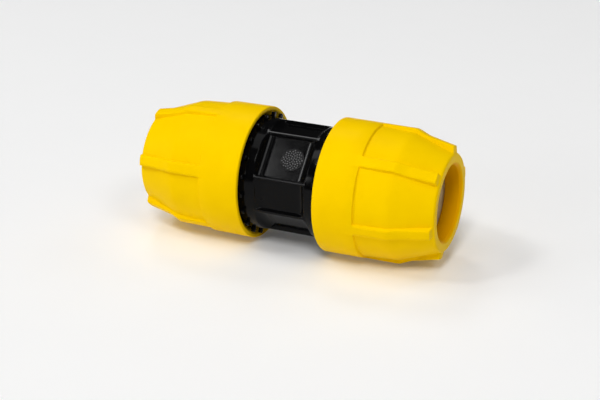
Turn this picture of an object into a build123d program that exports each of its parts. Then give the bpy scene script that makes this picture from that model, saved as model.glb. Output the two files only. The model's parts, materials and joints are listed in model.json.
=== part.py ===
from build123d import *
import os
from math import cos, radians, sin, tan

os.makedirs("parts", exist_ok=True)

# Compression coupler for plastic pipe. Millimetres, +Z up. The pipe axis is the
# X axis, and the origin lies on it at the middle of the body. Both ends are the
# same parts turned end for end, so an end's own outward axis is +X or -X.

# --- Driving radii, from the pipe outwards ---
pipe_radius = 16.0
socket_clearance = 0.40
seal_clearance = 0.25
grip_clearance = 0.30
lip_clearance = 0.45
bush_clearance = 0.50
stop_height = 3.40
seal_section = 4.50
chamber_clearance = 0.25
spigot_wall = 3.00
thread_room = 2.20
nut_wall = 2.70
rib_height = 1.10

# --- Driving lengths, from the middle outwards ---
stop_half = 3.00
waist_half = 12.30
flange_length = 3.60
tooth_length = 1.60
nut_gap = 0.20
land_length = 2.50
spigot_length = 28.50
seal_play = 0.10
bush_nose_length = 1.75
bush_flange_length = 2.00
ring_gap = 0.20
ring_length = 13.40
lip_gap = 0.30
lip_length = 7.85

# --- Radii that follow ---
socket_radius = pipe_radius + socket_clearance
stop_radius = socket_radius - stop_height
chamber_radius = pipe_radius + seal_clearance + seal_section + chamber_clearance
root_radius = chamber_radius + spigot_wall
nut_root_radius = root_radius + thread_room
panel_radius = nut_root_radius + nut_wall
collar_radius = panel_radius + rib_height

# --- Places along the axis that follow ---
tooth_start = waist_half + flange_length
tooth_end = tooth_start + tooth_length
land_end = tooth_end + land_length
spigot_end = tooth_end + spigot_length
chamber_depth = seal_section + 2 * seal_play + bush_nose_length
chamber_floor = spigot_end - chamber_depth
bush_end = spigot_end + bush_flange_length
ring_start = bush_end + ring_gap
ring_end = ring_start + ring_length
lip_start = ring_end + lip_gap
mouth = lip_start + lip_length
nut_start = tooth_end + nut_gap

# --- Body: flanges, toothed rims and ribbed waist ---
waist_drop = 0.90
flange_rise = 0.60
waist_radius = root_radius + waist_drop
flange_radius = waist_radius + flange_rise
spigot_chamfer = 1.00
bore_chamfer = 0.60
rim_teeth = 20
rim_tooth_width = 1.90
rim_tooth_height = 2.20
rim_tooth_turn = 16.40
panel_turn = 46.10
panel_half_angle = 26.10
wide_panel_depth = 3.90
narrow_panel_depth = 2.80
panel_corner = 4.20
panel_pairs = 4
waist_rib_width = 1.60
mark_radius = 5.40
mark_height = 0.25
mark_offset = 2.60

# --- Nut: collar, panels, six ribs and mouth ---
collar_length = 18.60
crest_draft = 0.25
barrel_length = 15.00
barrel_taper = 0.80
mouth_wall = 5.05
mouth_round = 0.90
collar_round = 0.50
knee_round = 9.00
bevel = 2.10
rib_count = 6
rib_width = 5.30
rib_shoulder_drop = 2.55
rib_shoulder_length = 5.20
rib_end_rise = 2.75
rib_setback = 0.80
rib_foot = 2.00
rib_knee_round = 4.00
rib_shoulder_round = 8.00
lip_chamfer = 0.50
cavity_lead = 1.10
rib_turn = {"left": 15.0, "right": 13.7}

# --- Split grip ring ---
ring_big_wall = 8.40
ring_small_wall = 3.80
cone_gap = 0.32
ring_slot_width = 3.20
ring_slot_turn = 52.0
grip_tooth_pitch = 2.40
grip_tooth_height = 1.00
grip_end_land = 0.50
grip_relief_count = 5
grip_relief_width = 1.40
grip_relief_length = 6.00
ring_edge = 0.40

# --- Thrust bush ---
bush_flange_wall = 7.10
bush_nose_gap = 0.25
bush_edge = 0.40

reach = 4 * collar_radius
space_margin = 1.00
ends = {"left": -1, "right": 1}


def side_plane(way):
    """Plane through the axis: its x runs outwards along the axis, its y upwards."""
    return Plane(origin=(0, 0, 0), x_dir=(way, 0, 0), z_dir=(0, -way, 0))


def cross_plane(way, along):
    """Plane square to the axis, the given way out from the middle, y upwards."""
    return Plane(origin=(way * along, 0, 0), x_dir=(0, way, 0), z_dir=(way, 0, 0))


def corner(along, radius):
    """Corner of the open sketch that lies nearest to a place on its profile."""
    return vertices().sort_by_distance((along, radius, 0))[0]


# Cutter for one waist panel: flat floor, rounded ends, walls along the ribs.
def panel_cutter(half_angle, floor_radius):
    wall_angle = radians(half_angle)
    rib_offset = waist_rib_width / 2 / cos(wall_angle)
    outer = collar_radius
    floor_half = floor_radius * tan(wall_angle) - rib_offset
    outer_half = outer * tan(wall_angle) - rib_offset
    with BuildPart() as cutter:
        with BuildSketch(cross_plane(1, -waist_half)):
            with BuildLine():
                Polyline(
                    (floor_radius, -floor_half),
                    (outer, -outer_half),
                    (outer, outer_half),
                    (floor_radius, floor_half),
                    close=True,
                )
            make_face()
        extrude(amount=2 * waist_half)
        with BuildSketch(Plane(origin=(0, 0, 0), x_dir=(1, 0, 0), z_dir=(0, 0, 1))):
            with BuildLine():
                Polyline(
                    (-waist_half, outer),
                    (-waist_half, floor_radius),
                    (waist_half, floor_radius),
                    (waist_half, outer),
                    close=True,
                )
            floor = make_face()
            fillet(floor.vertices().group_by(Axis.Y)[0], radius=panel_corner)
        extrude(amount=reach, both=True, mode=Mode.INTERSECT)
    return cutter.part


wide_floor = waist_radius - wide_panel_depth
narrow_floor = waist_radius - narrow_panel_depth
wide_cutter = panel_cutter(panel_half_angle, wide_floor)
pair_turn = 360 / panel_pairs
narrow_cutter = panel_cutter(pair_turn / 2 - panel_half_angle, narrow_floor)

# --- Body: one moulding, the same at both ends ---
with BuildPart() as coupler_body:
    for way in ends.values():
        with BuildSketch(side_plane(way)):
            with BuildLine():
                Polyline(
                    (0, 0),
                    (0, waist_radius),
                    (waist_half, waist_radius),
                    (tooth_start, flange_radius),
                    (land_end, flange_radius),
                    (land_end, root_radius),
                    (spigot_end - spigot_chamfer, root_radius),
                    (spigot_end, root_radius - spigot_chamfer),
                    (spigot_end, 0),
                    close=True,
                )
            make_face()
        revolve(axis=Axis.X)
        with BuildSketch(cross_plane(way, tooth_start)):
            with PolarLocations(flange_radius, rim_teeth, start_angle=rim_tooth_turn):
                Rectangle(2 * rim_tooth_height, rim_tooth_width)
        extrude(amount=tooth_length)
        with BuildSketch(side_plane(way)):
            with BuildLine():
                Polyline(
                    (0, 0),
                    (0, stop_radius),
                    (stop_half, stop_radius),
                    (stop_half, socket_radius),
                    (chamber_floor - bore_chamfer, socket_radius),
                    (chamber_floor, socket_radius + bore_chamfer),
                    (chamber_floor, chamber_radius),
                    (spigot_end - bore_chamfer, chamber_radius),
                    (spigot_end, chamber_radius + bore_chamfer),
                    (spigot_end, 0),
                    close=True,
                )
            make_face()
        revolve(axis=Axis.X, mode=Mode.SUBTRACT)
    for pair in range(panel_pairs):
        wide_turn = panel_turn + pair_turn * pair
        add(wide_cutter.rotate(Axis.X, wide_turn), mode=Mode.SUBTRACT)
        add(narrow_cutter.rotate(Axis.X, wide_turn + pair_turn / 2), mode=Mode.SUBTRACT)
    mark_turn = radians(panel_turn + pair_turn)
    mark_way = Vector(0, cos(mark_turn), sin(mark_turn))
    mark_middle = Vector(mark_offset, 0, 0) + mark_way * wide_floor
    with BuildSketch(Plane(origin=mark_middle, x_dir=(1, 0, 0), z_dir=mark_way)):
        Circle(mark_radius)
    extrude(amount=mark_height)
coupler_body.part.label = "coupler_body"
export_step(coupler_body.part, "parts/coupler_body.step")

mouth_radius = pipe_radius + lip_clearance + mouth_wall
step = nut_start + collar_length
knee = step + barrel_length
knee_radius = panel_radius - barrel_taper
crest_knee_radius = collar_radius - crest_draft
rib_end = mouth - rib_setback
rib_low = mouth_radius - rib_foot
rib_shoulder = knee + rib_shoulder_length
rib_shoulder_radius = collar_radius - rib_shoulder_drop
rib_end_radius = mouth_radius + rib_end_rise
lip_radius = pipe_radius + lip_clearance
blank_end = mouth + space_margin
ring_big_radius = pipe_radius + ring_big_wall
ring_small_radius = pipe_radius + ring_small_wall
cone_slope = (ring_big_radius - ring_small_radius) / ring_length
cone_start_radius = ring_big_radius + cone_gap
cone_end_radius = cone_start_radius - cone_slope * (lip_start - ring_start)
grip_crest = pipe_radius + grip_clearance
grip_root = grip_crest + grip_tooth_height
grip_tooth_count = int((ring_length - grip_end_land) // grip_tooth_pitch)
grip_margin = (ring_length - grip_tooth_count * grip_tooth_pitch) / 2
seal_middle = chamber_floor + seal_play + seal_section / 2
seal_ring_radius = pipe_radius + seal_clearance + seal_section / 2
nose_start = spigot_end - bush_nose_length
nose_radius = chamber_radius - bush_nose_gap
bush_radius = pipe_radius + bush_clearance
bush_flange_radius = bush_radius + bush_flange_wall

for end, way in ends.items():
    # --- Nut: the space above the panels, between the ribs and past the mouth ---
    with BuildPart() as panel_space:
        with BuildSketch(side_plane(way)):
            with BuildLine():
                Polyline(
                    (step, panel_radius),
                    (knee, knee_radius),
                    (mouth, mouth_radius),
                    (mouth, 0),
                    (blank_end + space_margin, 0),
                    (blank_end + space_margin, collar_radius + space_margin),
                    (step, collar_radius + space_margin),
                    close=True,
                )
            make_face()
            fillet(corner(knee, knee_radius), radius=knee_round)
            fillet(corner(mouth, mouth_radius), radius=mouth_round)
        revolve(axis=Axis.X)
        with BuildSketch(cross_plane(way, nut_start)):
            with PolarLocations(rib_low, rib_count, start_angle=rib_turn[end]):
                Rectangle(collar_radius, rib_width, align=(Align.MIN, Align.CENTER))
        extrude(amount=rib_end - nut_start, mode=Mode.SUBTRACT)

    # --- Nut: turned outline of collar and ribs, less the panels and the cavity ---
    with BuildPart() as nut:
        with BuildSketch(side_plane(way)):
            with BuildLine():
                Polyline(
                    (nut_start, nut_root_radius + bevel),
                    (nut_start, collar_radius),
                    (knee, crest_knee_radius),
                    (rib_shoulder, rib_shoulder_radius),
                    (blank_end, rib_end_radius),
                    (blank_end, lip_radius + lip_chamfer + space_margin),
                    (mouth - lip_chamfer, lip_radius),
                    (lip_start, lip_radius),
                    (lip_start, cone_end_radius),
                    (ring_start, cone_start_radius),
                    (ring_start - cavity_lead, nut_root_radius),
                    (nut_start + bevel, nut_root_radius),
                    close=True,
                )
            make_face()
            fillet(corner(nut_start, collar_radius), radius=collar_round)
            fillet(corner(knee, crest_knee_radius), radius=rib_knee_round)
            fillet(corner(rib_shoulder, rib_shoulder_radius), radius=rib_shoulder_round)
        revolve(axis=Axis.X)
        add(panel_space.part, mode=Mode.SUBTRACT)
    nut.part.label = f"{end}_nut"
    export_step(nut.part, f"parts/{end}_nut.step")

    # --- Split grip ring: cone outside, saw teeth inside, one gap and relief slots ---
    with BuildPart() as grip_ring:
        with BuildSketch(side_plane(way)):
            with BuildLine():
                teeth = [(ring_end, grip_root), (ring_end - grip_margin, grip_root)]
                for tooth in range(grip_tooth_count):
                    crest = ring_end - grip_margin - (tooth + 1) * grip_tooth_pitch
                    teeth += [(crest, grip_crest), (crest, grip_root)]
                Polyline(
                    *teeth,
                    (ring_start, grip_root),
                    (ring_start, ring_big_radius),
                    (ring_end, ring_small_radius),
                    close=True,
                )
            make_face()
            chamfer(corner(ring_start, ring_big_radius), length=ring_edge)
            chamfer(corner(ring_end, ring_small_radius), length=ring_edge)
        revolve(axis=Axis.X)
        with BuildSketch(cross_plane(way, ring_start)):
            with PolarLocations(pipe_radius, 1, start_angle=ring_slot_turn):
                Rectangle(pipe_radius, ring_slot_width, align=(Align.MIN, Align.CENTER))
        extrude(amount=ring_length, mode=Mode.SUBTRACT)
        with BuildSketch(cross_plane(way, ring_start)):
            relief_step = 360 / (grip_relief_count + 1)
            relief_turn = ring_slot_turn + relief_step
            relief_span = relief_step * grip_relief_count
            with PolarLocations(pipe_radius, grip_relief_count, relief_turn, relief_span):
                Rectangle(pipe_radius, grip_relief_width, align=(Align.MIN, Align.CENTER))
        extrude(amount=grip_relief_length, mode=Mode.SUBTRACT)
    grip_ring.part.label = f"{end}_grip_ring"
    export_step(grip_ring.part, f"parts/{end}_grip_ring.step")

    # --- Thrust bush: nose in the seal chamber, flange on the body's end ---
    with BuildPart() as thrust_bush:
        with BuildSketch(side_plane(way)):
            with BuildLine():
                Polyline(
                    (nose_start, bush_radius),
                    (nose_start, nose_radius),
                    (spigot_end, nose_radius),
                    (spigot_end, bush_flange_radius),
                    (bush_end, bush_flange_radius),
                    (bush_end, bush_radius),
                    close=True,
                )
            make_face()
            chamfer(corner(nose_start, nose_radius), length=bush_edge)
            chamfer(corner(bush_end, bush_flange_radius), length=bush_edge)
            chamfer(corner(bush_end, bush_radius), length=bush_edge)
        revolve(axis=Axis.X)
    thrust_bush.part.label = f"{end}_thrust_bush"
    export_step(thrust_bush.part, f"parts/{end}_thrust_bush.step")

    # --- Seal: rubber ring of round section in the body's chamber ---
    with BuildPart() as seal:
        with BuildSketch(side_plane(way)):
            with Locations((seal_middle, seal_ring_radius)):
                Circle(seal_section / 2)
        revolve(axis=Axis.X)
    seal.part.label = f"{end}_seal"
    export_step(seal.part, f"parts/{end}_seal.step")
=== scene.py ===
import json
import logging
from dataclasses import dataclass, field
from enum import Enum
from functools import lru_cache
from math import pi, radians, sqrt
from typing import Callable, Optional, Sequence, Union

import bmesh
import bpy
import numpy as np
from bpy.types import ID, Material, Mesh, Node, NodeSocket, NodeTree, Object
from mathutils import Matrix, Vector


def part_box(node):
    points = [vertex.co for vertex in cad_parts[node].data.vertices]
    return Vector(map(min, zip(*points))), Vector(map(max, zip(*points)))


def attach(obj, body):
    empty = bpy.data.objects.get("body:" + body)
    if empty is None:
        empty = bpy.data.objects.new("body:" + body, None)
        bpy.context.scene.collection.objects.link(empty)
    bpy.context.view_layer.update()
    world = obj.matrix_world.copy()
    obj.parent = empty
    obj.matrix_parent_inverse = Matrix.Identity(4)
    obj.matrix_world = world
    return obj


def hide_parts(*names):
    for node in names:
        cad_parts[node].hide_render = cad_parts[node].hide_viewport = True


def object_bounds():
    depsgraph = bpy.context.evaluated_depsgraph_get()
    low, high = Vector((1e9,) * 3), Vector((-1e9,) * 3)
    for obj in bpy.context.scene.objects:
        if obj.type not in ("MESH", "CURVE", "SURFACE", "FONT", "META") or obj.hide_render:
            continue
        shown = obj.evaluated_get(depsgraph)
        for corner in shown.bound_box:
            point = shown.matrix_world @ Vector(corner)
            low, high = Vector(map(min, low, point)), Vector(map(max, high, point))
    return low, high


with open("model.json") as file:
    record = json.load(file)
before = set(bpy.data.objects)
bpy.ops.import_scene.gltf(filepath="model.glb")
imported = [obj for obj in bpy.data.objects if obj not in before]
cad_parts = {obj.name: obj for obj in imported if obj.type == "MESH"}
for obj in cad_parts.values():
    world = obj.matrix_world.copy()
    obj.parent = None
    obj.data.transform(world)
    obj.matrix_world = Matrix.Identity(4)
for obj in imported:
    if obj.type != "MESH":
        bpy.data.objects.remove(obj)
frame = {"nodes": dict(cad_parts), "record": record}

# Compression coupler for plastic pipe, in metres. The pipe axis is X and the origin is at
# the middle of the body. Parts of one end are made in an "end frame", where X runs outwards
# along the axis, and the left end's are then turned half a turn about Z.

logging.basicConfig(level=logging.INFO, format="%(name)s: %(message)s")
log = logging.getLogger("coupler")

MM = 0.001
CAD_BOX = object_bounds()
Socket = Union[NodeSocket, float, int]
Colour = tuple[float, float, float]
Span = tuple[float, float]

# Columns of a lathed grid on half of a rib's top and over its wall, and the places of those
# past its foot, in wall edges.
TOP_COLUMNS = 3
WALL_COLUMNS = 7
FOOT_EDGES = (1.6, 2.6)


class End(Enum):
    """One end of the coupler."""

    LEFT = "left"
    RIGHT = "right"

    @property
    def turn(self) -> Matrix:
        """Turn from the end frame into the part's frame."""
        return Matrix.Rotation(pi if self is End.LEFT else 0.0, 4, "Z")

    @property
    def nut_body(self) -> str:
        """Name of the moving body that the nut belongs to."""
        return f"{self.value}_screw_nut"


# --- Outlines and lathed grids ---------------------------------------------------------


def rounded(
    corners: Sequence[tuple[float, float, float]], arc_step: float = 0.4, least_turn: float = 0.02
) -> np.ndarray:
    """Round the corners of an open outline.

    Args:
        corners: (along, radius, corner round) of each corner in order.
        arc_step: greatest turn between two points of a corner's arc, in radians.
        least_turn: a corner that turns by less, in radians, is left as it is.

    Returns:
        Points of the outline, one (along, radius) a row.
    """
    points = [np.array(corners[0][:2])]
    for before, here, after in zip(corners, corners[1:], corners[2:]):
        corner = np.array(here[:2])
        back = np.array(before[:2]) - corner
        ahead = np.array(after[:2]) - corner
        back /= np.linalg.norm(back)
        ahead /= np.linalg.norm(ahead)
        half = np.arccos(np.clip(back @ ahead, -1.0, 1.0)) / 2
        if here[2] <= 0 or half > (pi - least_turn) / 2:
            points.append(corner)
            continue
        middle = corner + (back + ahead) / np.linalg.norm(back + ahead) * here[2] / np.sin(half)
        first = corner + back * here[2] / np.tan(half) - middle
        last = corner + ahead * here[2] / np.tan(half) - middle
        steps = max(2, int(np.ceil((pi - 2 * half) / arc_step)))
        for share in np.linspace(0.0, 1.0, steps + 1):
            spoke = first * (1 - share) + last * share
            points.append(middle + spoke / np.linalg.norm(spoke) * here[2])
    points.append(np.array(corners[-1][:2]))
    return np.array(points)


def spaced(outline: np.ndarray, longest: float) -> np.ndarray:
    """Add points to an outline until no run is longer than the given length."""
    points = [outline[0]]
    for start, stop in zip(outline, outline[1:]):
        parts = max(1, int(np.ceil(np.linalg.norm(stop - start) / longest)))
        points += [start + (stop - start) * (i + 1) / parts for i in range(parts)]
    return np.array(points)


def rib_columns(
    rib_angles: Sequence[float], half_width: float, edge: float, gap_columns: Sequence[int]
) -> Callable[[np.ndarray], np.ndarray]:
    """Plan the columns of a lathed grid so that they run along the walls of its ribs.

    Args:
        rib_angles: angle of each rib's middle, in rising order within one turn.
        half_width: half of a rib's width.
        edge: half of the width over which a rib's wall rises.
        gap_columns: number of columns in the gap after each rib.

    Returns:
        Function from a row's radii to the angles of its vertices.
    """
    top = np.linspace(0.0, half_width - edge, TOP_COLUMNS)[:-1]
    wall = half_width + edge * np.linspace(-1.0, 1.0, WALL_COLUMNS)
    foot = half_width + edge * np.array(FOOT_EDGES)
    across = np.concatenate([top, wall, foot])

    def angles(radii: np.ndarray) -> np.ndarray:
        """Angles of the grid's vertices, one row for each radius."""
        columns = []
        for i, rib in enumerate(rib_angles):
            following = rib_angles[(i + 1) % len(rib_angles)]
            pitch = (following - rib) % (2 * pi) or 2 * pi
            reach = np.arcsin(across[:, None] / radii[None, :])
            columns += [rib + turn for turn in reach]
            for share in np.arange(1, gap_columns[i] + 1) / (gap_columns[i] + 1):
                columns.append(rib + reach[-1] + share * (pitch - 2 * reach[-1]))
            columns += [rib + pitch - turn for turn in reach[:0:-1]]
        return np.stack(columns, axis=1)

    return angles


def lathed_grid(
    name: str, along: np.ndarray, radii: np.ndarray, angles: np.ndarray
) -> Mesh:
    """Make a closed ring of quads from rows of vertices round the X axis.

    Args:
        name: name of the mesh.
        along: place of each row along the axis; the rows form a closed outline.
        radii: radius of each row.
        angles: angle of each vertex, one row for each outline point.

    Returns:
        The mesh, with its faces pointing outwards.
    """
    rows, columns = angles.shape
    spread = np.repeat(radii[:, None], columns, axis=1)
    level = np.repeat(along[:, None], columns, axis=1)
    places = np.stack([level, spread * np.cos(angles), spread * np.sin(angles)], axis=2)
    index = np.arange(rows * columns).reshape(rows, columns)
    below = np.roll(index, -1, axis=0)
    quads = np.stack(
        [index, below, np.roll(below, -1, axis=1), np.roll(index, -1, axis=1)], axis=2
    ).reshape(-1, 4)
    area = np.sum(along * np.roll(radii, -1) - np.roll(along, -1) * radii)
    if area > 0:
        quads = quads[:, ::-1]
    mesh = bpy.data.meshes.new(name)
    mesh.from_pydata(places.reshape(-1, 3).tolist(), [], quads.tolist())
    mesh.validate()
    return mesh


def store(mesh: Mesh, name: str, rows: np.ndarray, columns: int) -> None:
    """Keep one value for each row of a lathed grid as a named vertex attribute."""
    attribute = mesh.attributes.new(name, "FLOAT", "POINT")
    attribute.data.foreach_set("value", np.repeat(rows, columns).astype(np.float32))


# --- Nodes, meshes and objects ---------------------------------------------------------


def add_node(
    tree: NodeTree, kind: str, inputs: Optional[dict] = None, **settings: object
) -> Node:
    """Add a node to a tree.

    Args:
        tree: the tree that gets the node.
        kind: the node's type name.
        inputs: socket name or number to a value or another node's output.
        settings: properties to set on the node first.

    Returns:
        The new node.
    """
    node = tree.nodes.new(kind)
    for name, value in settings.items():
        setattr(node, name, value)
    for key, value in (inputs or {}).items():
        if isinstance(value, NodeSocket):
            tree.links.new(value, node.inputs[key])
        else:
            node.inputs[key].default_value = value
    return node


def plain_mesh(shape: bmesh.types.BMesh, name: str) -> Mesh:
    """Turn a finished bmesh into a mesh, and free it."""
    mesh = bpy.data.meshes.new(name)
    shape.to_mesh(mesh)
    shape.free()
    return mesh


def added(name: str, data: ID) -> Object:
    """Put a mesh, light or camera into the scene as an object at the origin."""
    thing = bpy.data.objects.new(name, data)
    bpy.context.scene.collection.objects.link(thing)
    return thing


# --- Geometry Nodes --------------------------------------------------------------------


class GeometryRule:
    """A Geometry Nodes tree that is built link by link and has named inputs."""

    def __init__(self, name: str) -> None:
        """Start an empty tree with a geometry input and output."""
        self.tree = bpy.data.node_groups.new(name, "GeometryNodeTree")
        for way in ("INPUT", "OUTPUT"):
            self.tree.interface.new_socket("Geometry", in_out=way, socket_type="NodeSocketGeometry")
        self.entry = self.tree.nodes.new("NodeGroupInput")
        self.exit = self.tree.nodes.new("NodeGroupOutput")
        self.values: dict[str, object] = {}
        self.dressing: Optional[Material] = None

    def size(self, name: str, value: float) -> NodeSocket:
        """Add a named number input and return its socket."""
        return self._input(name, value, "NodeSocketFloat")

    def sizes(self, **values: float) -> list[NodeSocket]:
        """Add a number input for each value, named after its key, and return their sockets."""
        return [self.size(key.replace("_", " ").title(), value) for key, value in values.items()]

    def count(self, name: str, value: int) -> NodeSocket:
        """Add a named whole-number input and return its socket."""
        return self._input(name, value, "NodeSocketInt")

    def _input(self, name: str, value: object, kind: str) -> NodeSocket:
        """Add an input of one kind, and keep its value for the modifier."""
        socket = self.tree.interface.new_socket(name, in_out="INPUT", socket_type=kind)
        self.values[socket.identifier] = value
        return self.entry.outputs[name]

    def node(
        self, kind: str, inputs: Optional[dict] = None, **settings: object
    ) -> Node:
        """Add a node to this tree, as add_node does."""
        return add_node(self.tree, kind, inputs, **settings)

    def math(self, operation: str, *terms: Socket) -> NodeSocket:
        """Add a Math node on up to three terms and return its result."""
        return self.node("ShaderNodeMath", dict(enumerate(terms)), operation=operation).outputs[0]

    def vector(self, *parts: Socket) -> NodeSocket:
        """Combine three numbers into a vector."""
        return self.node("ShaderNodeCombineXYZ", dict(enumerate(parts))).outputs[0]

    def blend(
        self, value: Socket, low: Socket, high: Socket, start: Socket = 0.0, stop: Socket = 1.0
    ) -> NodeSocket:
        """Rise smoothly from start to stop while value goes from low to high."""
        inputs = {0: value, 1: low, 2: high, 3: start, 4: stop}
        return self.node("ShaderNodeMapRange", inputs, interpolation_type="SMOOTHSTEP").outputs[0]

    def around(self) -> tuple[NodeSocket, ...]:
        """Give each point's X, Y and Z, its vector out from the X axis and that one's length."""
        place = self.node("GeometryNodeInputPosition").outputs[0]
        parts = self.node("ShaderNodeSeparateXYZ", {0: place}).outputs
        out = self.vector(0.0, parts[1], parts[2])
        length = self.node("ShaderNodeVectorMath", {0: out}, operation="LENGTH").outputs[1]
        return parts[0], parts[1], parts[2], out, length

    def polar(self) -> tuple[NodeSocket, ...]:
        """Give each point's place along X, its distance from X and its angle round X."""
        along, wide, tall, _, length = self.around()
        return along, length, self.math("ARCTAN2", tall, wide)

    def set_radius(
        self, geometry: NodeSocket, new: NodeSocket
    ) -> NodeSocket:
        """Move each point straight out from or in to the X axis, to a new radius."""
        along, wide, tall, _, length = self.around()
        grow = self.math("DIVIDE", new, length)
        wide, tall = (self.math("MULTIPLY", part, grow) for part in (wide, tall))
        return self.node("GeometryNodeSetPosition", {
            "Geometry": geometry, "Position": self.vector(along, wide, tall),
        }).outputs[0]

    def finish(self, geometry: NodeSocket, finish: Material) -> None:
        """End the tree in realised, smooth geometry with one material."""
        real = self.node("GeometryNodeRealizeInstances", {"Geometry": geometry}).outputs[0]
        smooth = self.node("GeometryNodeSetShadeSmooth", {"Geometry": real}).outputs[0]
        self.dressing = finish
        named = self._input("Finish", finish, "NodeSocketMaterial")
        dressed = self.node(
            "GeometryNodeSetMaterial", {"Geometry": smooth, "Material": named}
        ).outputs[0]
        self.tree.links.new(dressed, self.exit.inputs[0])

    def make(self, name: str, start: Mesh, place: Matrix) -> Object:
        """Run the tree on a mesh and keep the result as a plain mesh.

        Args:
            name: name of the finished piece.
            start: mesh that goes into the tree.
            place: turn from the end frame into the part's frame.

        Returns:
            The piece, at the origin, with its place in its mesh.
        """
        piece = added(name, start)
        modifier = piece.modifiers.new(self.tree.name, "NODES")
        modifier.node_group = self.tree
        for identifier, value in self.values.items():
            modifier[identifier] = value
        piece.update_tag()
        ready = piece.evaluated_get(bpy.context.evaluated_depsgraph_get())
        made = bpy.data.meshes.new_from_object(ready)
        piece.modifiers.remove(modifier)
        piece.data = made
        bpy.data.meshes.remove(start)
        if "crest" in made.attributes:
            made.attributes.remove(made.attributes["crest"])
        made.materials.clear()
        made.materials.append(self.dressing)
        made.polygons.foreach_set("material_index", [0] * len(made.polygons))
        made.name = name
        made.transform(place)
        return piece


def ride_on(piece: Object, body: str, stands_for: Sequence[str] = ()) -> None:
    """Give a finished piece its body and the CAD nodes it stands for."""
    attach(piece, body)
    if stands_for:
        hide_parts(*stands_for)
    log.info("%s rides on %s, %d faces", piece.name, body, len(piece.data.polygons))


# --- Finishes --------------------------------------------------------------------------


@dataclass(frozen=True)
class MouldedFinish:
    """A moulded plastic or rubber with a faint flow mottle and a fine skin.

    Attributes:
        name: name of the material.
        colour: main colour, linear.
        shade: colour of the mottle's darker patches, linear.
        roughness: lowest and highest roughness.
        specular: specular level.
        gleam: tint of the highlights.
        bore_shade_colour: darker orange near the X axis, painted shade inside the bore, linear.
        bore_shade_radius: distances from the X axis over which the painted shade gives way to the
            main colour.
        mottle: patches in a metre.
        mottle_range: noise levels that give the shade and the main colour.
        wipe_fineness: how much finer the roughness varies than the colour.
        wipe_range: noise levels that give the lowest and the highest roughness.
        grain: grains of the skin in a metre.
        grain_depth: height of the skin's grain, in metres.
    """

    name: str
    colour: Colour
    shade: Colour
    roughness: Span = (0.35, 0.45)
    specular: float = 0.5
    gleam: Colour = (1.0, 1.0, 1.0)
    bore_shade_colour: Optional[Colour] = None
    bore_shade_radius: Span = (16.9 * MM, 18.2 * MM)
    mottle: float = 90.0
    mottle_range: Span = (0.30, 0.68)
    wipe_fineness: float = 2.3
    wipe_range: Span = (0.3, 0.7)
    grain: float = 2600.0
    grain_depth: float = 0.00001

    def _bore_shaded(self, tree: NodeTree, place: NodeSocket, paint: NodeSocket) -> NodeSocket:
        """Paint shade into a colour near the X axis, where the inside of the bore lies.

        Args:
            tree: the material's nodes.
            place: Object coordinates.
            paint: the colour away from the axis.

        Returns:
            The mixed colour.
        """
        flat = add_node(
            tree, "ShaderNodeVectorMath", {0: place, 1: (0.0, 1.0, 1.0)}, operation="MULTIPLY"
        ).outputs[0]
        reach = add_node(tree, "ShaderNodeVectorMath", {0: flat}, operation="LENGTH")
        share = add_node(tree, "ShaderNodeMapRange", {
            "Value": reach.outputs["Value"],
            "From Min": self.bore_shade_radius[0],
            "From Max": self.bore_shade_radius[1],
        }, interpolation_type="SMOOTHSTEP")
        return add_node(tree, "ShaderNodeMix", {
            "Factor": share.outputs["Result"], "A": (*self.bore_shade_colour, 1.0), "B": paint,
        }, data_type="RGBA").outputs["Result"]

    @lru_cache(maxsize=None)
    def material(self) -> Material:
        """Build the material's nodes on Object coordinates, once."""
        made = bpy.data.materials.new(self.name)
        made.use_nodes = True
        tree = made.node_tree
        shader = tree.nodes["Principled BSDF"]
        place = add_node(tree, "ShaderNodeTexCoord").outputs["Object"]
        flow, wipe, skin = (
            add_node(tree, "ShaderNodeTexNoise", {
                "Vector": place, "Scale": scale, "Detail": detail, "Roughness": roughness,
            }).outputs["Fac"]
            for scale, detail, roughness in (
                (self.mottle, 4.0, 0.6),
                (self.mottle * self.wipe_fineness, 6.0, 0.5),
                (self.grain, 3.0, 0.5),
            )
        )
        ramp = add_node(tree, "ShaderNodeValToRGB", {"Fac": flow})
        stops = zip(ramp.color_ramp.elements, self.mottle_range, (self.shade, self.colour))
        for stop, level, colour in stops:
            stop.position, stop.color = level, (*colour, 1.0)
        paint = ramp.outputs["Color"]
        # Painted shade: a darker orange near the axis stands in for the shade inside the bore.
        if self.bore_shade_colour:
            paint = self._bore_shaded(tree, place, paint)
        rough = add_node(tree, "ShaderNodeMapRange", {
            "Value": wipe,
            "From Min": self.wipe_range[0],
            "From Max": self.wipe_range[1],
            "To Min": self.roughness[0],
            "To Max": self.roughness[1],
        })
        bump = add_node(tree, "ShaderNodeBump", {
            "Height": skin, "Strength": 0.5, "Distance": self.grain_depth,
        })
        tree.links.new(paint, shader.inputs["Base Color"])
        tree.links.new(rough.outputs["Result"], shader.inputs["Roughness"])
        tree.links.new(bump.outputs["Normal"], shader.inputs["Normal"])
        shader.inputs["Specular IOR Level"].default_value = self.specular
        shader.inputs["Specular Tint"].default_value = (*self.gleam, 1.0)
        return made


# The yellow's darker orange near the axis is painted shade inside the bore, not a colour of the
# plastic.
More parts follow.
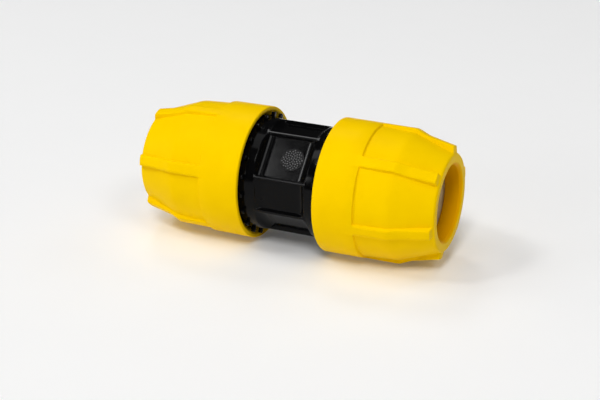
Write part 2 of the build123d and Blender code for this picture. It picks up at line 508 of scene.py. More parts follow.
NUT_YELLOW = MouldedFinish(
    "satin_yellow", (0.955, 0.615, 0.0), (0.92, 0.58, 0.0), roughness=(0.32, 0.42),
    specular=0.02, gleam=(1.0, 0.75, 0.05), bore_shade_colour=(0.80, 0.37, 0.0),
    mottle=70.0, grain=2200.0, grain_depth=0.000012,
)
BODY_BLACK = MouldedFinish(
    "gloss_black", (0.0025, 0.0025, 0.0028), (0.0015, 0.0015, 0.0017), roughness=(0.09, 0.15),
    specular=0.09, mottle=120.0, grain=1800.0, grain_depth=0.000006,
)
ETCHED_BLACK = MouldedFinish(
    "etched_black", (0.004, 0.004, 0.0043), (0.0025, 0.0025, 0.0027), specular=0.13,
)
# The dots are the same black moulding; their grey colour is a painted glint that stands in for
# their highlights.
STIPPLE_GLINT_GREY = MouldedFinish(
    "stipple_painted_glint", (0.075, 0.075, 0.077), (0.05, 0.05, 0.052), roughness=(0.24, 0.34),
    specular=0.6,
)
# Natural acetal is off-white; the warm tan here is that colour with painted yellow light bounced
# from the nut's bore.
RING_ACETAL_AND_BOUNCE = MouldedFinish(
    "acetal_and_painted_bounce", (0.82, 0.66, 0.38), (0.76, 0.60, 0.33), roughness=(0.38, 0.5),
    specular=0.2,
)
BUSH_BLACK = MouldedFinish(
    "matt_black", (0.02, 0.02, 0.022), (0.012, 0.012, 0.014), roughness=(0.5, 0.65),
    specular=0.4,
)
SEAL_RUBBER = MouldedFinish(
    "greased_rubber", (0.015, 0.015, 0.016), (0.01, 0.01, 0.01), roughness=(0.35, 0.7),
    specular=0.45, mottle=300.0,
)


# --- Threads ---------------------------------------------------------------------------


@dataclass
class ThreadRidge:
    """A right-hand thread ridge that winds outwards on a wall round the X axis.

    Attributes:
        wall: radius of the wall that the ridge stands on.
        height: height of the ridge.
        side: 1 where the ridge stands outwards from the wall, -1 where it stands inwards.
        start: place along the axis where the ridge begins.
        turns: number of turns.
        phase: angle of the ridge where its line passes the middle of the body.
        run_out: share of its length over which it thins at each end.
        end_size: size of its section at the very ends, as a share of the whole.
    """

    wall: float
    height: float
    side: int
    start: float
    turns: float
    phase: float = 0.0
    lead: float = 6.0 * MM
    root_width: float = 3.7 * MM
    crest_width: float = 1.8 * MM
    sunk: float = 0.25 * MM
    edge_round: float = 0.3 * MM
    run_out: float = 0.035
    end_size: float = 0.02
    steps_a_turn: int = 72

    def make(self, name: str, finish: Material, end: End) -> Object:
        """Build the ridge with Geometry Nodes as a closed tube of tapering section.

        Args:
            name: name of the piece.
            finish: the wall's material.
            end: the end of the coupler that it belongs to.

        Returns:
            The ridge as a plain mesh.
        """
        rule = GeometryRule("Thread ridge")
        turns, lead, wall, height, root, crest, start, first, run_out = rule.sizes(
            turns=self.turns,
            lead=self.lead,
            wall_radius=self.wall - self.side * self.sunk,
            ridge_height=self.height + self.sunk,
            root_width=self.root_width,
            crest_width=self.crest_width,
            start=self.start,
            start_turn=self.phase + 2 * pi * self.start / self.lead,
            run_out_share=self.run_out,
        )

        spiral = rule.node("GeometryNodeCurveSpiral", {
            "Resolution": self.steps_a_turn,
            "Rotations": turns,
            "Start Radius": wall,
            "End Radius": wall,
            "Height": rule.math("MULTIPLY", turns, lead),
        }).outputs[0]
        upright = rule.node("GeometryNodeTransform", {
            "Geometry": spiral,
            "Rotation": rule.vector(0.0, 0.0, first),
        }).outputs[0]
        laid = rule.node("GeometryNodeTransform", {
            "Geometry": upright,
            "Rotation": (pi / 2, 0.0, pi / 2),
            "Translation": rule.vector(start, 0.0, 0.0),
        }).outputs[0]
        faced = rule.node("GeometryNodeSetCurveNormal", {
            "Curve": laid, "Normal": rule.around()[3],
        }, mode="FREE").outputs[0]
        share = rule.node("GeometryNodeSplineParameter").outputs["Factor"]
        entry = rule.blend(share, 0.0, run_out, self.end_size, 1.0)
        thinning = rule.math("SUBTRACT", 1.0, run_out)
        leave = rule.blend(share, thinning, 1.0, 1.0, self.end_size)
        tapered = rule.node("GeometryNodeSetCurveRadius", {
            "Curve": faced, "Radius": rule.math("MULTIPLY", entry, leave),
        }).outputs[0]

        section = rule.node("GeometryNodeCurvePrimitiveQuadrilateral", {
            "Height": height, "Bottom Width": root, "Top Width": crest, "Offset": 0.0,
        }, mode="TRAPEZOID").outputs[0]
        standing = rule.node("GeometryNodeTransform", {
            "Geometry": section,
            "Translation": rule.vector(0.0, rule.math("DIVIDE", height, 2.0), 0.0),
        }).outputs[0]
        turned = rule.node("GeometryNodeTransform", {
            "Geometry": standing, "Rotation": (0.0, 0.0, -self.side * pi / 2),
        }).outputs[0]
        soft = rule.node("GeometryNodeFilletCurve", {
            "Curve": turned, "Radius": self.edge_round, "Count": 3,
        }, mode="POLY").outputs[0]
        ridge = rule.node("GeometryNodeCurveToMesh", {
            "Curve": tapered, "Profile Curve": soft, "Fill Caps": True,
        }).outputs[0]
        rule.finish(ridge, finish)
        return rule.make(name, bpy.data.meshes.new(name), end.turn)


# --- Screw nuts ------------------------------------------------------------------------


@dataclass
class ScrewNut:
    """A yellow nut: collar, sunk panels between six ribs, mouth, lip, cone and thread.

    Attributes:
        end: the end of the coupler that it closes.
        rib_turn: angle of its first rib round the outward axis.
        crest_overrun: length by which the outline of the ribs' tops passes the mouth.
        face_inset: depth on the mouth's flat where the outline of the inside begins.
        foot_edges: reach of the close rows past the middle of a wall, in wall edges.
    """

    end: End
    rib_turn: float
    pipe_radius: float = 16.0 * MM
    rib_count: int = 6
    rib_width: float = 5.3 * MM
    rib_height: float = 1.1 * MM
    collar_length: float = 18.6 * MM
    crest_draft: float = 0.25 * MM
    barrel_length: float = 15.0 * MM
    barrel_taper: float = 0.8 * MM
    knee_round: float = 9.0 * MM
    mouth_drop: float = 8.5 * MM
    mouth_round: float = 1.4 * MM
    rib_shoulder_drop: float = 2.55 * MM
    rib_shoulder_length: float = 5.2 * MM
    rib_end_rise: float = 2.75 * MM
    rib_setback: float = 0.8 * MM
    rib_knee_round: float = 4.0 * MM
    rib_shoulder_round: float = 8.0 * MM
    collar_round: float = 0.55 * MM
    bevel: float = 2.1 * MM
    thread_root_drop: float = 3.8 * MM
    thread_depth: float = 1.8 * MM
    lip_clearance: float = 0.45 * MM
    lip_length: float = 7.85 * MM
    lip_chamfer: float = 1.3 * MM
    cone_big_drop: float = 5.28 * MM
    cone_small_drop: float = 9.98 * MM
    cone_length: float = 13.7 * MM
    cavity_lead: float = 1.1 * MM
    inner_round: float = 0.25 * MM
    wall_edge: float = 0.30 * MM
    corner_blend: float = 0.45 * MM
    crest_overrun: float = 1.0 * MM
    face_inset: float = 1.0 * MM
    outer_run: float = 1.5 * MM
    inner_run: float = 6.0 * MM
    wall_rows: int = 15
    foot_edges: float = 2.4
    row_clearance: float = 0.02 * MM
    gap_columns: int = 14
    thread_setback: float = 2.6 * MM
    thread_turns: float = 3.3
    finish: MouldedFinish = NUT_YELLOW
    node: str = field(init=False)
    start: float = field(init=False)
    mouth: float = field(init=False)
    collar_radius: float = field(init=False)

    def __post_init__(self) -> None:
        """Read the nut's place and collar from its CAD node."""
        self.node = f"{self.end.value}_nut"
        low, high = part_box(self.node)
        self.start = min(abs(low.x), abs(high.x))
        self.mouth = max(abs(low.x), abs(high.x))
        self.collar_radius = (high.z - low.z) / 2

    @property
    def step(self) -> float:
        """Place along the axis where the collar ends and the panels begin."""
        return self.start + self.collar_length

    @property
    def rib_end(self) -> float:
        """Place along the axis where the ribs end."""
        return self.mouth - self.rib_setback

    @property
    def knee(self) -> float:
        """Place along the axis where the panels and ribs bend towards the mouth."""
        return self.step + self.barrel_length

    def crest_radius(self, place: float) -> float:
        """Radius of the collar and the ribs' tops, which fall evenly to the knee."""
        fall = self.crest_draft * (place - self.start) / (self.knee - self.start)
        return self.collar_radius - fall

    @property
    def root_radius(self) -> float:
        """Radius of the threaded wall inside."""
        return self.collar_radius - self.thread_root_drop

    def panel_outline(self) -> np.ndarray:
        """Outline of the panels' floor from inside the step to the flat of the mouth."""
        panel = self.collar_radius - self.rib_height
        lip = self.pipe_radius + self.lip_clearance
        return rounded([
            (self.step - self.wall_edge, panel, 0.0),
            (self.knee, panel - self.barrel_taper, self.knee_round),
            (self.mouth, self.collar_radius - self.mouth_drop, self.mouth_round),
            (self.mouth, lip + self.lip_chamfer, 0.0),
        ], arc_step=0.12)

    def crest_outline(self) -> np.ndarray:
        """Outline of the ribs' tops over the panels."""
        step_edge = self.step - self.wall_edge
        shoulder = self.knee + self.rib_shoulder_length
        end_radius = self.collar_radius - self.mouth_drop + self.rib_end_rise
        return rounded([
            (step_edge, self.crest_radius(step_edge), 0.0),
            (self.knee, self.crest_radius(self.knee), self.rib_knee_round),
            (shoulder, self.collar_radius - self.rib_shoulder_drop, self.rib_shoulder_round),
            (self.mouth + self.crest_overrun, end_radius, 0.0),
        ], arc_step=0.05)

    def inner_outline(self) -> np.ndarray:
        """Outline of the inside, from the flat of the mouth back to the open end."""
        lip = self.pipe_radius + self.lip_clearance
        lip_start = self.mouth - self.lip_length
        cone_start = lip_start - self.cone_length
        step_edge = self.step - self.wall_edge
        soft = self.inner_round
        return rounded([
            (self.mouth, lip + self.lip_chamfer + self.face_inset, 0.0),
            (self.mouth, lip + self.lip_chamfer, soft),
            (self.mouth - self.lip_chamfer, lip, soft),
            (lip_start, lip, soft),
            (lip_start, self.collar_radius - self.cone_small_drop, soft),
            (cone_start, self.collar_radius - self.cone_big_drop, soft),
            (cone_start - self.cavity_lead, self.root_radius, soft),
            (self.start + self.bevel, self.root_radius, soft),
            (self.start, self.root_radius + self.bevel, soft),
            (self.start, self.collar_radius, self.collar_round),
            (step_edge, self.crest_radius(step_edge), 0.0),
        ])

    def rows(self) -> tuple[np.ndarray, np.ndarray, np.ndarray]:
        """Rows of the shell's closed outline: place, panel radius and rib radius of each."""
        panel = self.panel_outline()[:-1]
        coarse = spaced(panel, self.outer_run)
        extra = np.concatenate([
            self.step + self.wall_edge * np.linspace(-1.0, self.foot_edges, self.wall_rows),
            self.rib_end + self.wall_edge * np.linspace(-self.foot_edges, 1.0, self.wall_rows),
        ])
        extra = np.stack([extra, np.interp(extra, panel[:, 0], panel[:, 1])], axis=1)
        on_slope = coarse[coarse[:, 0] < self.rib_end - self.foot_edges * self.wall_edge]
        on_slope = on_slope[on_slope[:, 0] > self.step + self.foot_edges * self.wall_edge]
        past = coarse[coarse[:, 0] > self.rib_end + self.wall_edge + self.row_clearance]
        merged = np.concatenate([extra, on_slope])
        merged = merged[np.argsort(merged[:, 0])]
        outer = np.concatenate([merged, past])
        crest = self.crest_outline()
        tops = np.interp(outer[:, 0], crest[:, 0], crest[:, 1])
        tops = np.where(outer[:, 0] > self.rib_end + self.wall_edge, outer[:, 1], tops)
        inner = spaced(self.inner_outline(), self.inner_run)[:-1]
        along = np.concatenate([outer[:, 0], inner[:, 0]])
        floor = np.concatenate([outer[:, 1], inner[:, 1]])
        return along, floor, np.concatenate([tops, inner[:, 1]])

    def shell(self) -> Object:
        """Raise the ribs on the lathed shell with Geometry Nodes."""
        along, floor, crest = self.rows()
        ribs = [self.rib_turn + 2 * pi * i / self.rib_count for i in range(self.rib_count)]
        gaps = [self.gap_columns] * self.rib_count
        plan = rib_columns(ribs, self.rib_width / 2, self.wall_edge, gaps)
        angles = plan(crest)
        start = lathed_grid(f"{self.node}_shell", along, floor, angles)
        store(start, "crest", crest, angles.shape[1])

        rule = GeometryRule("Ribbed shell")
        count = rule.count("Rib Count", self.rib_count)
        turn, width, edge, blend, collar_end, rib_end = rule.sizes(
            rib_turn=self.rib_turn,
            rib_width=self.rib_width,
            wall_edge=self.wall_edge,
            corner_blend=self.corner_blend,
            collar_end=self.step,
            rib_end=self.rib_end,
        )
        place, radius, angle = rule.polar()
        top = rule.node(
            "GeometryNodeInputNamedAttribute", {"Name": "crest"}, data_type="FLOAT"
        ).outputs[0]
        half_pitch = rule.math("DIVIDE", pi, count)
        back = rule.math("MULTIPLY", half_pitch, -1.0)
        from_rib = rule.math("WRAP", rule.math("SUBTRACT", angle, turn), half_pitch, back)
        across = rule.math("ABSOLUTE", rule.math("MULTIPLY", top, rule.math("SINE", from_rib)))
        inside_rib = rule.math("SUBTRACT", rule.math("DIVIDE", width, 2.0), across)
        inside_end = rule.math("SUBTRACT", rib_end, place)
        inside_collar = rule.math("SUBTRACT", collar_end, place)
        on_rib = rule.math("SMOOTH_MIN", inside_rib, inside_end, blend)
        raised = rule.math("SMOOTH_MAX", on_rib, inside_collar, blend)
        share = rule.blend(raised, rule.math("MULTIPLY", edge, -1.0), edge)
        lift = rule.math("MULTIPLY", share, rule.math("SUBTRACT", top, radius))
        raised_shell = rule.set_radius(rule.entry.outputs[0], rule.math("ADD", radius, lift))
        rule.finish(raised_shell, self.finish.material())
        return rule.make(f"{self.node}_shell", start, self.end.turn)

    def build(self) -> None:
        """Build the shell and its thread, and set them riding on the nut's body."""
        shell = self.shell()
        ride_on(shell, self.end.nut_body, [self.node])
        ridge = ThreadRidge(
            wall=self.root_radius,
            height=self.thread_depth,
            side=-1,
            start=self.start + self.bevel + self.thread_setback,
            turns=self.thread_turns,
            phase=pi,
        )
        thread = ridge.make(f"{self.node}_thread", shell.data.materials[0], self.end)
        ride_on(thread, self.end.nut_body)


# --- Body ------------------------------------------------------------------------------


@dataclass
class CouplerBody:
    """The black moulding: ribbed waist, flanges with toothed rims and threaded spigots.

    Attributes:
        edge_rounds: rounds of its finest, middle and softest edges.
        end_slope: rise of a panel's floor for each length past its rounded ends.
        skin_depth: depth below the waist's ribs down to which a point is on its outside.
        panel_margin: length past the waist where the panels' rule ends.
    """

    root_radius: float = 24.0 * MM
    chamber_radius: float = 21.0 * MM
    stop_radius: float = 13.0 * MM
    waist_drop: float = 0.9 * MM
    flange_rise: float = 0.6 * MM
    waist_half: float = 12.3 * MM
    flange_length: float = 3.6 * MM
    tooth_length: float = 1.6 * MM
    land_length: float = 2.5 * MM
    chamber_depth: float = 6.45 * MM
    stop_half: float = 3.0 * MM
    bore_chamfer: float = 0.6 * MM
    spigot_chamfer: float = 1.0 * MM
    thread_height: float = 1.6 * MM
    panel_turn: float = radians(46.1)
    panel_half_angle: float = radians(26.1)
    wide_panel_depth: float = 3.9 * MM
    narrow_panel_depth: float = 2.8 * MM
    panel_corner: float = 4.2 * MM
    waist_rib_width: float = 1.6 * MM
    wall_edge: float = 0.22 * MM
    rim_blend: float = 0.16 * MM
    waist_pitch: float = 0.40 * MM
    waist_run: float = 14.0 * MM
    flange_edge_round: float = 0.35 * MM
    rim_teeth: int = 20
    rim_tooth_width: float = 1.9 * MM
    rim_tooth_turn: float = radians(16.4)
    tooth_round: float = 0.3 * MM
    tooth_sunk: float = 0.5 * MM
    mark_radius: float = 5.4 * MM
    mark_height: float = 0.25 * MM
    mark_offset: float = 2.6 * MM
    mark_round: float = 0.12 * MM
    dot_count: int = 60
    dot_radius: float = 0.34 * MM
    dot_height: float = 0.10 * MM
    golden_turn: float = pi * (3 - sqrt(5))
    edge_rounds: tuple[float, float, float] = (0.2 * MM, 0.3 * MM, 0.4 * MM)
    stop_round: float = 0.5 * MM
    longest_run: float = 6.0 * MM
    panel_pairs: int = 4
    wide_columns: int = 12
    narrow_columns: int = 8
    end_slope: float = 20.0
    skin_depth: float = 0.3 * MM
    panel_margin: float = 1.0 * MM
    thread_setback: float = 2.3 * MM
    thread_turns: float = 3.45
    finish: MouldedFinish = BODY_BLACK
    spigot_end: float = field(init=False)
    tooth_tip: float = field(init=False)
    socket_radius: float = field(init=False)

    def __post_init__(self) -> None:
        """Read the body's length, tooth tips and socket from the frame."""
        low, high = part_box("coupler_body")
        self.spigot_end = high.x
        self.tooth_tip = (high.z - low.z) / 2
        self.socket_radius = frame["record"]["mounts"][0]["dims"]["r_mm"] * MM

    @property
    def waist_radius(self) -> float:
        """Radius over the waist's ribs."""
        return self.root_radius + self.waist_drop

    @property
    def flange_radius(self) -> float:
        """Radius of the flanges beside the nuts."""
        return self.waist_radius + self.flange_rise

    @property
    def tooth_start(self) -> float:
        """Place along the axis where a rim's teeth begin."""
        return self.waist_half + self.flange_length

    @property
    def land_end(self) -> float:
        """Place along the axis where a flange ends and the thread's wall begins."""
        return self.tooth_start + self.tooth_length + self.land_length

    def half_outline(self) -> np.ndarray:
        """Outline of one half, from the waist's middle round the spigot to the stop's."""
        floor = self.spigot_end - self.chamber_depth
        fine, firm, soft = self.edge_rounds
        return rounded([
            (0.0, self.waist_radius, 0.0),
            (self.waist_half, self.waist_radius, self.flange_edge_round),
            (self.tooth_start, self.flange_radius, self.flange_edge_round),
            (self.land_end, self.flange_radius, soft),
            (self.land_end, self.root_radius, soft),
            (self.spigot_end - self.spigot_chamfer, self.root_radius, soft),
            (self.spigot_end, self.root_radius - self.spigot_chamfer, firm),
            (self.spigot_end, self.chamber_radius + self.bore_chamfer, fine),
            (self.spigot_end - self.bore_chamfer, self.chamber_radius, fine),
            (floor, self.chamber_radius, firm),
            (floor, self.socket_radius + self.bore_chamfer, fine),
            (floor - self.bore_chamfer, self.socket_radius, fine),
            (self.stop_half, self.socket_radius, soft),
            (self.stop_half, self.stop_radius, self.stop_round),
            (0.0, self.stop_radius, 0.0),
        ])

    def rows(self) -> tuple[np.ndarray, np.ndarray]:
        """Rows of the body's closed outline: place and radius of each."""
        half = spaced(self.half_outline(), self.longest_run)
        outside = half[:, 1] > self.root_radius + self.waist_drop / 2
        outer = half[outside]
        waist = np.arange(0.0, self.waist_run, self.waist_pitch)
        past = outer[:, 0] > waist[-1] + self.waist_pitch / 4
        kept = np.concatenate([
            np.stack([waist, np.interp(waist, outer[:, 0], outer[:, 1])], axis=1),
            outer[past],
            half[~outside],
        ])
        mirrored = kept[-2:0:-1] * np.array([-1.0, 1.0])
        closed = np.concatenate([kept, mirrored])
        return closed[:, 0], closed[:, 1]

    def moulding(self) -> Object:
        """Sink the waist's panels between its ribs with Geometry Nodes."""
        along, radii = self.rows()
        quarter = 2 * pi / self.panel_pairs
        ribs = sorted(
            (self.panel_turn + quarter * i + side * self.panel_half_angle) % (2 * pi)
            for i in range(self.panel_pairs) for side in (-1, 1)
        )
        gaps = [self.wide_columns, self.narrow_columns]
        if ribs[1] - ribs[0] <= quarter / 2:
            gaps.reverse()
        plan = rib_columns(
            ribs, self.waist_rib_width / 2, self.wall_edge, gaps * self.panel_pairs
        )
        angles = plan(np.full(len(radii), self.waist_radius))
        start = lathed_grid("coupler_moulding", along, radii, angles)

        rule = GeometryRule("Panelled waist")
        turn, half_angle, waist, wide, narrow, half_length, corner, rib, edge, blend = rule.sizes(
            panel_turn=self.panel_turn,
            panel_half_angle=self.panel_half_angle,
            waist_radius=self.waist_radius,
            wide_panel_floor=self.waist_radius - self.wide_panel_depth,
            narrow_panel_floor=self.waist_radius - self.narrow_panel_depth,
            panel_half_length=self.waist_half,
            panel_corner=self.panel_corner,
            rib_width=self.waist_rib_width,
            wall_edge=self.wall_edge,
            rim_blend=self.rim_blend,
        )
        place, radius, angle = rule.polar()
        spread = rule.math("SUBTRACT", angle, turn)
        off_wide = rule.math("ABSOLUTE", rule.math("WRAP", spread, quarter / 2, -quarter / 2))
        off_narrow = rule.math("SUBTRACT", quarter / 2, off_wide)
        is_wide = rule.math("LESS_THAN", off_wide, half_angle)
        off_middle, floor = (
            rule.node("GeometryNodeSwitch", {
                "Switch": is_wide, "False": if_narrow, "True": if_wide,
            }, input_type="FLOAT").outputs[0]
            for if_narrow, if_wide in ((off_narrow, off_wide), (narrow, wide))
        )
        off_centre = rule.math("ABSOLUTE", place)
        straight = rule.math("SUBTRACT", half_length, corner)
        into_corner = rule.math("MAXIMUM", rule.math("SUBTRACT", off_centre, straight), 0.0)
        inside = rule.math("MINIMUM", into_corner, corner)
        left = rule.math(
            "SUBTRACT", rule.math("POWER", corner, 2.0), rule.math("POWER", inside, 2.0)
        )
        fall = rule.math("SQRT", rule.math("MAXIMUM", left, 0.0))
        beyond = rule.math("MAXIMUM", rule.math("SUBTRACT", into_corner, corner), 0.0)
        past = rule.math("MULTIPLY", beyond, self.end_slope)
        rise = rule.math("ADD", rule.math("SUBTRACT", corner, fall), past)
        sunk = rule.math("DIVIDE", rule.math("ADD", floor, rise), rule.math("COSINE", off_middle))
        sunk = rule.math("SMOOTH_MIN", sunk, radius, blend)
        to_rib = rule.math("ABSOLUTE", rule.math("SUBTRACT", off_wide, half_angle))
        across = rule.math("MULTIPLY", waist, rule.math("SINE", to_rib))
        half_rib = rule.math("DIVIDE", rib, 2.0)
        share = rule.blend(
            across, rule.math("SUBTRACT", half_rib, edge), rule.math("ADD", half_rib, edge)
        )
        drop = rule.math("MULTIPLY", share, rule.math("SUBTRACT", sunk, radius))
        outside = rule.math("GREATER_THAN", radius, rule.math("SUBTRACT", waist, self.skin_depth))
        near = rule.math("LESS_THAN", off_centre, rule.math("ADD", half_length, self.panel_margin))
        drop = rule.math("MULTIPLY", drop, rule.math("MULTIPLY", outside, near))
        sunk_waist = rule.set_radius(rule.entry.outputs[0], rule.math("ADD", radius, drop))
        rule.finish(sunk_waist, self.finish.material())
        return rule.make("coupler_moulding", start, Matrix.Identity(4))

    def tooth(self) -> Mesh:
        """One rounded tooth of a rim, standing where the angle round the axis is 0."""
        inner = self.flange_radius - self.tooth_sunk
        low = Vector((self.tooth_start, inner, -self.rim_tooth_width / 2))
        high = Vector(
            (self.tooth_start + self.tooth_length, self.tooth_tip, self.rim_tooth_width / 2)
        )
        shape = bmesh.new()
        bmesh.ops.create_cube(shape, size=1.0)
        for vertex in shape.verts:
            vertex.co = Vector(
                (low[i] + high[i]) / 2 + vertex.co[i] * (high[i] - low[i]) for i in range(3)
            )
        bmesh.ops.bevel(
            shape, geom=shape.edges[:], offset=self.tooth_round, segments=3, profile=0.5,
            affect="EDGES",
        )
        return plain_mesh(shape, "rim_tooth")

    def rim(self, end: End, finish: Material) -> Object:
        """Repeat the tooth round one rim with Geometry Nodes."""
        rule = GeometryRule("Rim teeth")
        count = rule.count("Tooth Count", self.rim_teeth)
        turn = rule.size("First Tooth Turn", self.rim_tooth_turn)
        points = rule.node("GeometryNodePoints", {"Count": count}).outputs[0]
        index = rule.node("GeometryNodeInputIndex").outputs[0]
        pitch = rule.math("DIVIDE", 2 * pi, count)
        angle = rule.math("ADD", turn, rule.math("MULTIPLY", index, pitch))
        placed = rule.node("GeometryNodeInstanceOnPoints", {
            "Points": points,
            "Instance": rule.entry.outputs[0],
            "Rotation": rule.vector(angle, 0.0, 0.0),
        }).outputs[0]
        rule.finish(placed, finish)
        return rule.make(f"{end.value}_rim_teeth", self.tooth(), end.turn)

    @property
    def mark_place(self) -> Matrix:
        """Place of the round mark's foot, on one wide panel's floor."""
        floor = self.waist_radius - self.wide_panel_depth
        turn = Matrix.Rotation(self.panel_turn, 4, "X")
        return turn @ Matrix.Translation((self.mark_offset, 0.0, floor))

    def mark(self) -> Object:
        """Make the blank round plate that stands a little proud of one wide panel."""
        shape = bmesh.new()
        bmesh.ops.create_cone(
            shape, cap_ends=True, segments=72, radius1=self.mark_radius, radius2=self.mark_radius,
            depth=2 * self.mark_height,
        )
        rim = [edge for edge in shape.edges if all(vertex.co.z > 0 for vertex in edge.verts)]
        bmesh.ops.bevel(
            shape, geom=rim, offset=self.mark_round, segments=3, profile=0.5, affect="EDGES"
        )
        caps = [face for face in shape.faces if len(face.verts) > 4]
        bmesh.ops.inset_individual(shape, faces=caps, thickness=2 * self.mark_round)
        mesh = plain_mesh(shape, "waist_mark")
        mesh.transform(self.mark_place)
        mesh.polygons.foreach_set("use_smooth", [True] * len(mesh.polygons))
        mesh.materials.append(ETCHED_BLACK.material())
        return added("waist_mark", mesh)

    def stipple(self) -> Object:
        """Scatter low round dots over the mark in a sunflower's order with Geometry Nodes."""
        rule = GeometryRule("Mark stipple")
        count = rule.count("Dot Count", self.dot_count)
        reach, golden, dot_radius, squat = rule.sizes(
            dotted_radius=self.mark_radius - 2 * self.dot_radius,
            turn_between_dots=self.golden_turn,
            dot_radius=self.dot_radius,
            dot_squat=self.dot_height / self.dot_radius,
        )
        index = rule.node("GeometryNodeInputIndex").outputs[0]
        share = rule.math("DIVIDE", rule.math("ADD", index, 0.5), count)
        spoke = rule.math("MULTIPLY", reach, rule.math("SQRT", share))
        angle = rule.math("MULTIPLY", index, golden)
        spot = rule.vector(
            rule.math("MULTIPLY", spoke, rule.math("COSINE", angle)),
            rule.math("MULTIPLY", spoke, rule.math("SINE", angle)),
            self.mark_height,
        )
        points = rule.node("GeometryNodePoints", {"Count": count, "Position": spot}).outputs[0]
        dot = rule.node("GeometryNodeMeshUVSphere", {
            "Segments": 10, "Rings": 6, "Radius": dot_radius,
        }).outputs[0]
        dots = rule.node("GeometryNodeInstanceOnPoints", {
            "Points": points, "Instance": dot, "Scale": rule.vector(1.0, 1.0, squat),
        }).outputs[0]
        rule.finish(dots, STIPPLE_GLINT_GREY.material())
        name = "waist_mark_stipple"
        return rule.make(name, bpy.data.meshes.new(name), self.mark_place)

    def build(self) -> None:
        """Build the moulding, its mark, its rims and its threads, and set them riding."""
        moulding = self.moulding()
        ride_on(moulding, "coupler", ["coupler_body"])
        finish = moulding.data.materials[0]
        ride_on(self.mark(), "coupler")
        ride_on(self.stipple(), "coupler")
        for end in End:
            ride_on(self.rim(end, finish), "coupler")
            ridge = ThreadRidge(
                wall=self.root_radius,
                height=self.thread_height,
                side=1,
                start=self.land_end + self.thread_setback,
                turns=self.thread_turns,
            )
            ride_on(ridge.make(f"{end.value}_spigot_thread", finish, end), "coupler")


# --- Rings, bushes and seals -----------------------------------------------------------


def dress_inner_parts() -> None:
    """Give the CAD rings, bushes and seals their finishes."""
    finishes = {
        # The grip rings' warm tan holds painted yellow bounce light from the nut.
        "grip_ring": ("ring_natural", RING_ACETAL_AND_BOUNCE),
        "thrust_bush": ("bush_black", BUSH_BLACK),
        "seal": ("seal_rubber", SEAL_RUBBER),
    }
    for end in End:
        for part, (slot_name, finish) in finishes.items():
            node = frame["nodes"][f"{end.value}_{part}"]
            for material_slot in node.material_slots:
                material_slot.material = finish.material()
            log.info("%s dressed in %s", node.name, finish.name)


# --- Studio ----------------------------------------------------------------------------


@dataclass(frozen=True)
class SoftLight:
    """A rectangular studio light aimed at the coupler, with its angles in degrees."""

    name: str
    azimuth: float
    elevation: float
    power: float
    size: Span = (1.0, 1.0)
    distance: float = 3.6

    def place(self) -> None:
        """Add the light at its place round the coupler."""
        data = bpy.data.lights.new(self.name, "AREA")
        data.shape = "RECTANGLE"
        data.size, data.size_y = self.size
        data.energy = self.power
        light = added(self.name, data)
        light.matrix_world = aimed(self.azimuth, self.elevation, self.distance, Vector())


def aimed(azimuth: float, elevation: float, distance: float, target: Vector) -> Matrix:
    """Place something that looks at a target along its own -Z.

    Args:
        azimuth: turn from -Y towards +X, in degrees.
        elevation: height above the horizon, in degrees.
        distance: distance from the target.
        target: the point looked at.

    Returns:
        The matrix of its place.
    """
    swing = Matrix.Rotation(radians(azimuth), 4, "Z")
    turn = swing @ Matrix.Rotation(radians(90 - elevation), 4, "X")
    back = turn.to_3x3() @ Vector((0.0, 0.0, 1.0))
    return Matrix.Translation(target + back * distance) @ turn


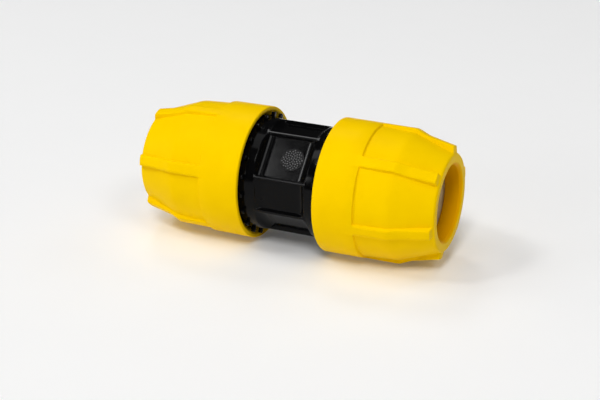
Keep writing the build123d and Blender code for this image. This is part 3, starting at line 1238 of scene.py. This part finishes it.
@dataclass
class Studio:
    """Plain pale floor, soft lights and the camera."""

    floor_colour: Colour = (0.90, 0.90, 0.90)
    floor_shade: float = 0.985
    floor_mottle: float = 40.0
    floor_radius: float = 12.0
    floor_glow: float = 0.06
    far_glow: float = 0.72
    far_floor: Span = (1.4, 6.0)
    world_strength: float = 0.03
    camera_target: tuple[float, float, float] = (0.0011, -0.0037, -0.0090)
    camera_distance: float = 0.6152
    camera_azimuth: float = 23.86
    camera_elevation: float = 23.28
    lens: float = 82.6
    lights: tuple[SoftLight, ...] = (
        SoftLight("key", 13, 50, power=52.0, size=(0.9, 0.9)),
        SoftLight("overhead", 0, 85, power=28.0, size=(2.4, 2.4), distance=4.0),
        SoftLight("left_low", -50, 15, power=14.0, size=(0.9, 0.9)),
        SoftLight("left_gleam", -52.2, 50.8, power=20.0, size=(0.6, 0.6)),
        SoftLight("front_gleam", -22, 14, power=6.0, size=(0.5, 0.5)),
        SoftLight("back_gleam", -141, 54, power=13.6, size=(0.8, 0.8)),
        SoftLight("right_high", 62, 50, power=17.0),
        SoftLight("left_high", -80, 50, power=10.4),
        SoftLight("left_side", -80, 15, power=7.0, size=(1.0, 0.8)),
        SoftLight("back_right", 145, 40, power=7.2, size=(1.2, 1.2), distance=4.0),
    )

    def floor(self) -> None:
        """Lay a wide pale floor just under the coupler, with a glow that grows far away."""
        shape = bmesh.new()
        bmesh.ops.create_circle(shape, cap_ends=True, segments=96, radius=self.floor_radius)
        mesh = plain_mesh(shape, "floor")
        mesh.transform(Matrix.Translation((0.0, 0.0, CAD_BOX[0][2])))
        finish = bpy.data.materials.new("floor_paper")
        finish.use_nodes = True
        tree = finish.node_tree
        shader = tree.nodes["Principled BSDF"]
        place = add_node(tree, "ShaderNodeTexCoord").outputs["Object"]
        noise = add_node(tree, "ShaderNodeTexNoise", {"Vector": place, "Scale": self.floor_mottle})
        ramp = add_node(tree, "ShaderNodeValToRGB", {"Fac": noise.outputs["Fac"]})
        for stop, dim in zip(ramp.color_ramp.elements, (self.floor_shade, 1.0)):
            stop.color = (*[channel * dim for channel in self.floor_colour], 1.0)
        away = add_node(tree, "ShaderNodeVectorMath", {0: place}, operation="LENGTH")
        glow = add_node(tree, "ShaderNodeMapRange", {
            "Value": away.outputs["Value"],
            "From Min": self.far_floor[0],
            "From Max": self.far_floor[1],
            "To Min": self.floor_glow,
            "To Max": self.far_glow,
        })
        tree.links.new(ramp.outputs["Color"], shader.inputs["Base Color"])
        tree.links.new(glow.outputs["Result"], shader.inputs["Emission Strength"])
        shader.inputs["Emission Color"].default_value = (1.0, 1.0, 1.0, 1.0)
        shader.inputs["Roughness"].default_value = 0.9
        shader.inputs["Specular IOR Level"].default_value = 0.1
        mesh.materials.append(finish)
        piece = added("floor", mesh)

    def world(self) -> None:
        """Fill the room with even white light."""
        world = bpy.data.worlds.new("room")
        world.use_nodes = True
        sky = world.node_tree.nodes["Background"]
        sky.inputs["Color"].default_value = (1.0, 1.0, 1.0, 1.0)
        sky.inputs["Strength"].default_value = self.world_strength
        bpy.context.scene.world = world

    def camera(self) -> None:
        """Set up the camera."""
        data = bpy.data.cameras.new("camera")
        data.lens = self.lens
        data.sensor_width = 36.0
        data.clip_start = 0.01
        camera = added("camera", data)
        camera.matrix_world = aimed(
            self.camera_azimuth, self.camera_elevation, self.camera_distance,
            Vector(self.camera_target),
        )
        bpy.context.scene.camera = camera

    def build(self) -> None:
        """Set up camera, floor, room and lights."""
        self.camera()
        self.floor()
        self.world()
        for light in self.lights:
            light.place()
        bpy.context.scene.view_settings.view_transform = "Standard"


def main() -> None:
    """Build the studio and the coupler's sub-assemblies in order."""
    Studio().build()
    CouplerBody().build()
    ScrewNut(End.LEFT, rib_turn=radians(15.0)).build()
    ScrewNut(End.RIGHT, rib_turn=radians(13.7)).build()
    dress_inner_parts()


if __name__ == "__main__":
    main()
